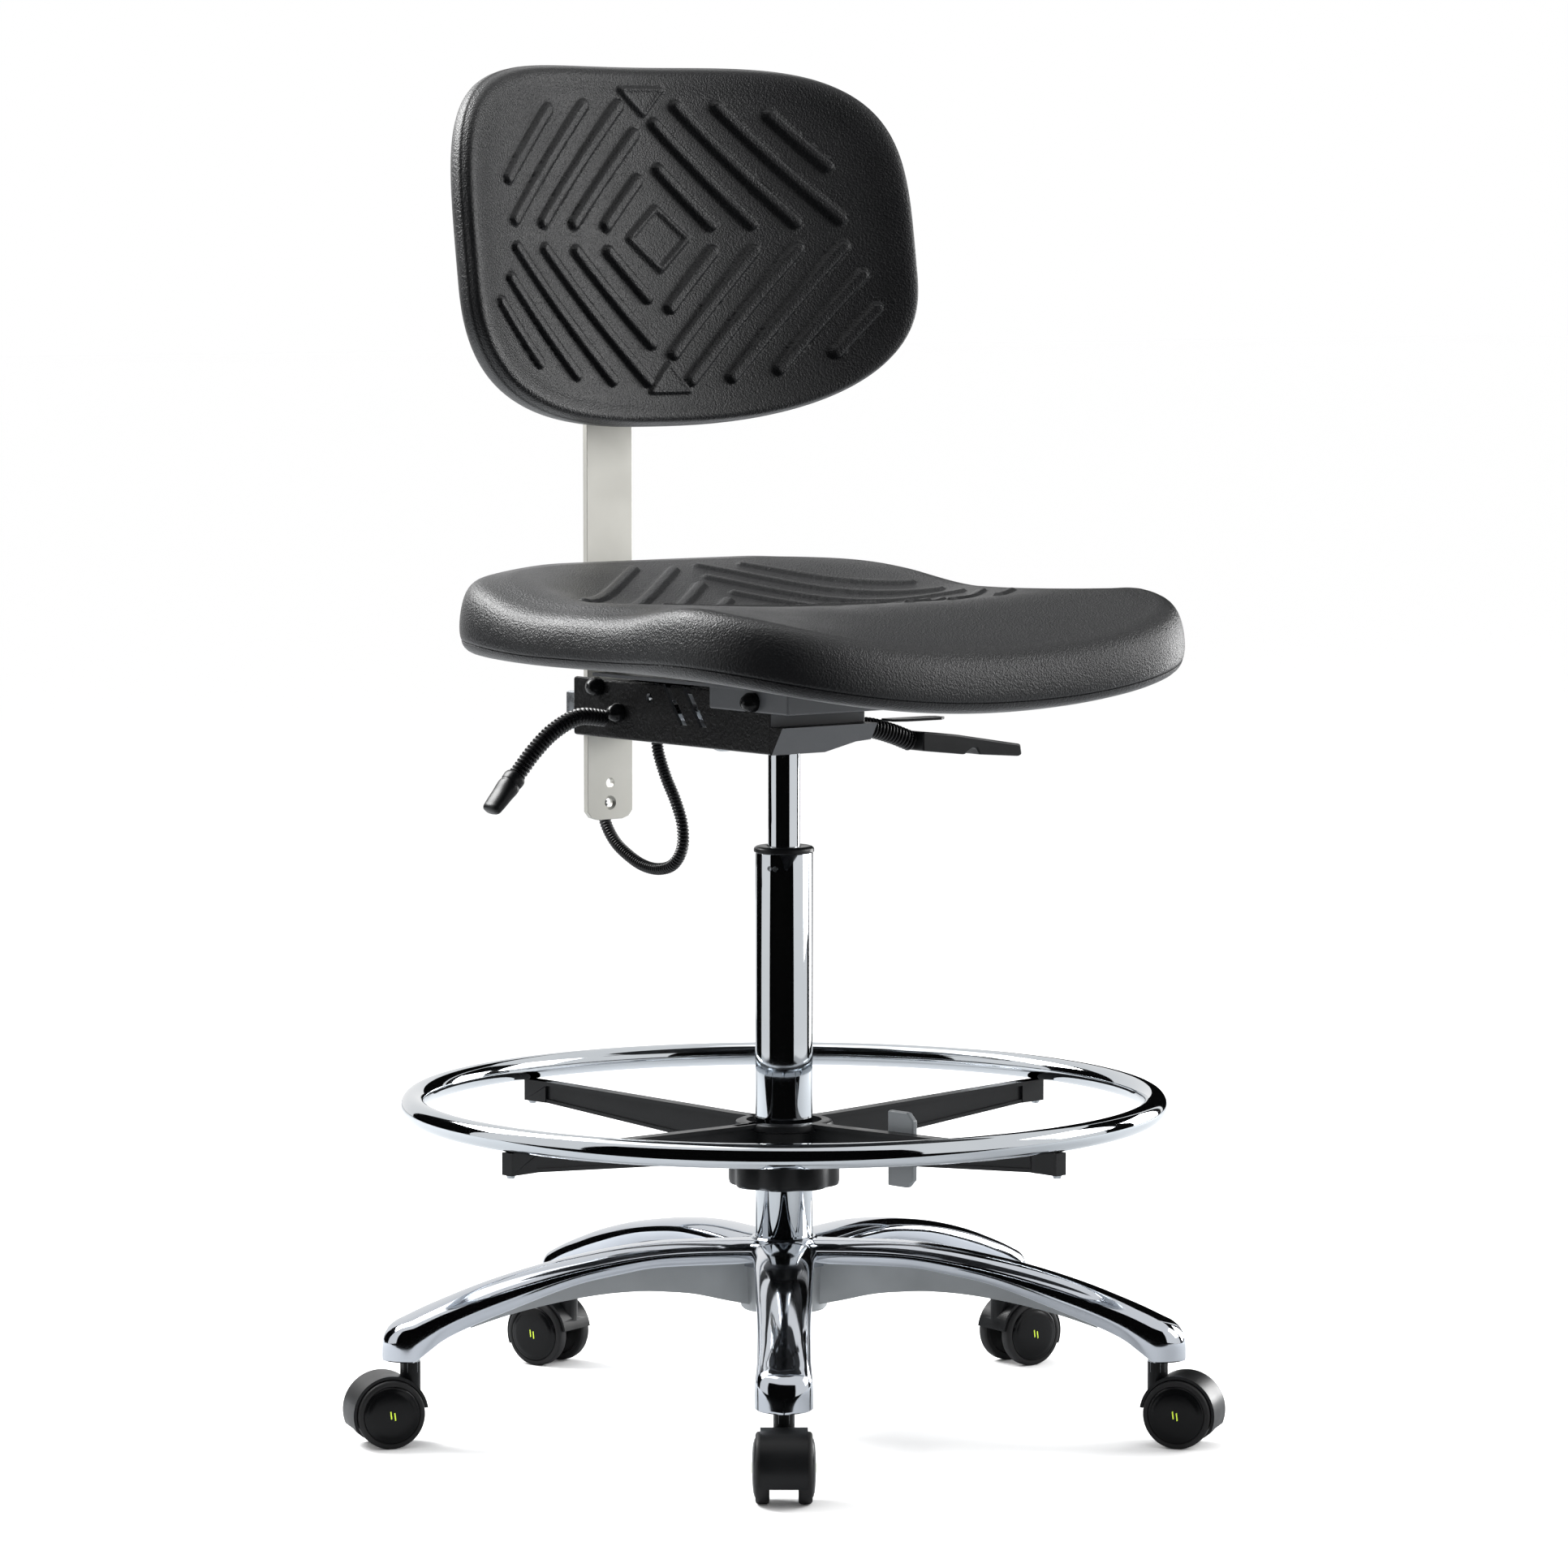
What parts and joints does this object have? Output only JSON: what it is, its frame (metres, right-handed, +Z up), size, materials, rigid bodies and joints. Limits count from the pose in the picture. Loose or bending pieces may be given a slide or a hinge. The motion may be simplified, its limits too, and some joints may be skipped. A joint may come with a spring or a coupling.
{
  "type": "drafting chair",
  "caption": "Tall work chair with moulded seat and back, gas lift, round foot ring and a polished star base on twin-wheel casters.",
  "frame": {"origin": "centre of the bounding box on the floor, close to the column's axis", "axes": "+Z up along the column; the sitter faces -Y; +X is the sitter's left"},
  "size_m": [0.7526, 0.7286, 1.177],
  "materials": {
    "polished_aluminium": "polished",
    "chrome_plate": "mirror",
    "nickel_plate": "satin",
    "zinc_plate": "satin",
    "textured_black_paint": "textured",
    "black_nylon": "fine grain",
    "grey_nylon": "smooth",
    "black_polyurethane": "fine leather grain",
    "black_rubber": "matt"
  },
  "bodies": {
    "base": {"star_base": "polished_aluminium", "column_tube": "chrome_plate", "column_cap": "black_nylon", "guide_bushing": "grey_nylon", "caster_1_stem": "zinc_plate", "caster_2_stem": "zinc_plate", "caster_3_stem": "zinc_plate", "caster_4_stem": "zinc_plate", "caster_5_stem": "zinc_plate"},
    "caster_1": {"caster_1_hood": "black_nylon", "caster_1_axle": "zinc_plate"},
    "caster_1_left_wheel": {"caster_1_wheel_left": "black_rubber"},
    "caster_1_right_wheel": {"caster_1_wheel_right": "black_rubber"},
    "caster_2": {"caster_2_hood": "black_nylon", "caster_2_axle": "zinc_plate"},
    "caster_2_left_wheel": {"caster_2_wheel_left": "black_rubber"},
    "caster_2_right_wheel": {"caster_2_wheel_right": "black_rubber"},
    "caster_3": {"caster_3_hood": "black_nylon", "caster_3_axle": "zinc_plate"},
    "caster_3_left_wheel": {"caster_3_wheel_left": "black_rubber"},
    "caster_3_right_wheel": {"caster_3_wheel_right": "black_rubber"},
    "caster_4": {"caster_4_hood": "black_nylon", "caster_4_axle": "zinc_plate"},
    "caster_4_left_wheel": {"caster_4_wheel_left": "black_rubber"},
    "caster_4_right_wheel": {"caster_4_wheel_right": "black_rubber"},
    "caster_5": {"caster_5_hood": "black_nylon", "caster_5_axle": "zinc_plate"},
    "caster_5_left_wheel": {"caster_5_wheel_left": "black_rubber"},
    "caster_5_right_wheel": {"caster_5_wheel_right": "black_rubber"},
    "foot_ring": {"foot_ring": "chrome_plate", "spoke_frame": "black_nylon", "ring_screw_1": "zinc_plate", "ring_screw_2": "zinc_plate", "ring_screw_3": "zinc_plate", "ring_screw_4": "zinc_plate"},
    "ring_knob": {"ring_lock_knob": "black_nylon"},
    "ring_lever": {"ring_release_lever": "grey_nylon"},
    "lift_rod": {"piston_rod": "chrome_plate", "thrust_bearing": "zinc_plate"},
    "seat_frame": {"gas_cylinder": "chrome_plate", "mechanism_housing": "textured_black_paint", "back_axle": "black_nylon", "stop_pin": "black_nylon"},
    "valve": {"valve_button": "zinc_plate"},
    "seat": {"seat_bracket": "textured_black_paint", "seat_axle": "black_nylon", "seat_cushion": "black_polyurethane"},
    "back_arm": {"back_arm": "zinc_plate", "bar_clamp_screw": "zinc_plate", "cable_conduit": "black_rubber"},
    "back": {"back_bar": "nickel_plate", "backrest_bracket": "textured_black_paint", "backrest_cushion": "black_polyurethane", "back_bolt_upper": "zinc_plate", "back_bolt_lower": "zinc_plate"},
    "back_lever": {"back_lever_neck": "black_rubber", "back_lever_grip": "black_nylon"},
    "height_lever": {"height_lever_coil": "textured_black_paint", "height_lever_paddle": "black_nylon"},
    "tilt_lever": {"tilt_lever": "textured_black_paint"}
  },
  "joints": [
    {"name": "caster_1_swivel", "type": "hinge", "parent": "base", "child": "caster_1", "pos_m": [-0.20941, -0.29429, 0.0734], "axis": [0, 0, 1], "continuous": true},
    {"name": "caster_1_left_spin", "type": "hinge", "parent": "caster_1", "child": "caster_1_left_wheel", "pos_m": [-0.22296, -0.31162, 0.0295], "axis": [0.788, -0.6157, 0], "continuous": true},
    {"name": "caster_1_right_spin", "type": "hinge", "parent": "caster_1", "child": "caster_1_right_wheel", "pos_m": [-0.22296, -0.31162, 0.0295], "axis": [0.788, -0.6157, 0], "continuous": true},
    {"name": "caster_2_swivel", "type": "hinge", "parent": "base", "child": "caster_2", "pos_m": [0.18534, -0.30807, 0.0734], "axis": [0, 0, 1], "continuous": true},
    {"name": "caster_2_left_spin", "type": "hinge", "parent": "caster_2", "child": "caster_2_left_wheel", "pos_m": [0.19764, -0.32631, 0.0295], "axis": [0.829, 0.5592, 0], "continuous": true},
    {"name": "caster_2_right_spin", "type": "hinge", "parent": "caster_2", "child": "caster_2_right_wheel", "pos_m": [0.19764, -0.32631, 0.0295], "axis": [0.829, 0.5592, 0], "continuous": true},
    {"name": "caster_3_swivel", "type": "hinge", "parent": "base", "child": "caster_3", "pos_m": [0.32043, 0.0631, 0.0734], "axis": [0, 0, 1], "continuous": true},
    {"name": "caster_3_left_spin", "type": "hinge", "parent": "caster_3", "child": "caster_3_left_wheel", "pos_m": [0.34238, 0.06157, 0.0295], "axis": [0.0698, 0.9976, 0], "continuous": true},
    {"name": "caster_3_right_spin", "type": "hinge", "parent": "caster_3", "child": "caster_3_right_wheel", "pos_m": [0.34238, 0.06157, 0.0295], "axis": [0.0698, 0.9976, 0], "continuous": true},
    {"name": "caster_4_swivel", "type": "hinge", "parent": "base", "child": "caster_4", "pos_m": [0.00918, 0.30628, 0.0734], "axis": [0, 0, 1], "continuous": true},
    {"name": "caster_4_left_spin", "type": "hinge", "parent": "caster_4", "child": "caster_4_left_wheel", "pos_m": [0.00238, 0.3272, 0.0295], "axis": [-0.9511, -0.309, 0], "continuous": true},
    {"name": "caster_4_right_spin", "type": "hinge", "parent": "caster_4", "child": "caster_4_right_wheel", "pos_m": [0.00238, 0.3272, 0.0295], "axis": [-0.9511, -0.309, 0], "continuous": true},
    {"name": "caster_5_swivel", "type": "hinge", "parent": "base", "child": "caster_5", "pos_m": [-0.31829, 0.0854, 0.0734], "axis": [0, 0, 1], "continuous": true},
    {"name": "caster_5_left_spin", "type": "hinge", "parent": "caster_5", "child": "caster_5_left_wheel", "pos_m": [-0.33896, 0.09293, 0.0295], "axis": [-0.342, -0.9397, 0], "continuous": true},
    {"name": "caster_5_right_spin", "type": "hinge", "parent": "caster_5", "child": "caster_5_right_wheel", "pos_m": [-0.33896, 0.09293, 0.0295], "axis": [-0.342, -0.9397, 0], "continuous": true},
    {"name": "foot_ring_height", "type": "slide", "parent": "base", "child": "foot_ring", "axis": [0, 0, 1], "range_m": [-0.03, 0.12]},
    {"name": "ring_knob_turn", "type": "hinge", "parent": "foot_ring", "child": "ring_knob", "pos_m": [-0.00255, -0.02951, 0.231], "axis": [0, 0, 1], "range_deg": [-120, 0]},
    {"name": "ring_lever_squeeze", "type": "hinge", "parent": "foot_ring", "child": "ring_lever", "pos_m": [0.02301, -0.16138, 0.2675], "axis": [0.1219, -0.9925, 0], "range_deg": [0, 10], "stiffness_Nm_per_rad": 0.3, "springref_deg": -11.46},
    {"name": "seat_swivel", "type": "hinge", "parent": "base", "child": "lift_rod", "pos_m": [-0.00255, -0.02951, 0.102], "axis": [0, 0, 1], "continuous": true},
    {"name": "gas_lift", "type": "slide", "parent": "lift_rod", "child": "seat_frame", "axis": [0, 0, 1], "range_m": [-0.07, 0.17]},
    {"name": "valve_press", "type": "slide", "parent": "seat_frame", "child": "valve", "axis": [0, 0, -1], "range_m": [0, 0.0035]},
    {"name": "seat_tilt", "type": "hinge", "parent": "seat_frame", "child": "seat", "pos_m": [-0.00255, -0.06351, 0.633], "axis": [1, 0, 0], "range_deg": [0, 8]},
    {"name": "back_angle", "type": "hinge", "parent": "seat_frame", "child": "back_arm", "pos_m": [-0.00255, 0.13849, 0.612], "axis": [-1, 0, 0], "range_deg": [-5, 15]},
    {"name": "back_height", "type": "slide", "parent": "back_arm", "child": "back", "axis": [0, 0, 1], "range_m": [0, 0.06]},
    {"name": "back_lever_lift", "type": "hinge", "parent": "seat_frame", "child": "back_lever", "pos_m": [-0.05855, 0.15449, 0.606], "axis": [0, 1, 0], "range_deg": [0, 10], "stiffness_Nm_per_rad": 1.2, "springref_deg": -14.32},
    {"name": "height_lever_lift", "type": "hinge", "parent": "seat_frame", "child": "height_lever", "pos_m": [0.05345, -0.04951, 0.606], "axis": [0, -1, 0], "range_deg": [0, 8], "stiffness_Nm_per_rad": 1.5, "springref_deg": -14.32},
    {"name": "tilt_lever_turn", "type": "hinge", "parent": "seat_frame", "child": "tilt_lever", "pos_m": [0.05845, -0.09551, 0.614], "axis": [0, 0, 1], "range_deg": [-12, 12]}
  ],
  "couplings": [
    {"joint": "valve_press", "follows": "height_lever_lift", "m_per_rad": 0.024942}
  ]
}
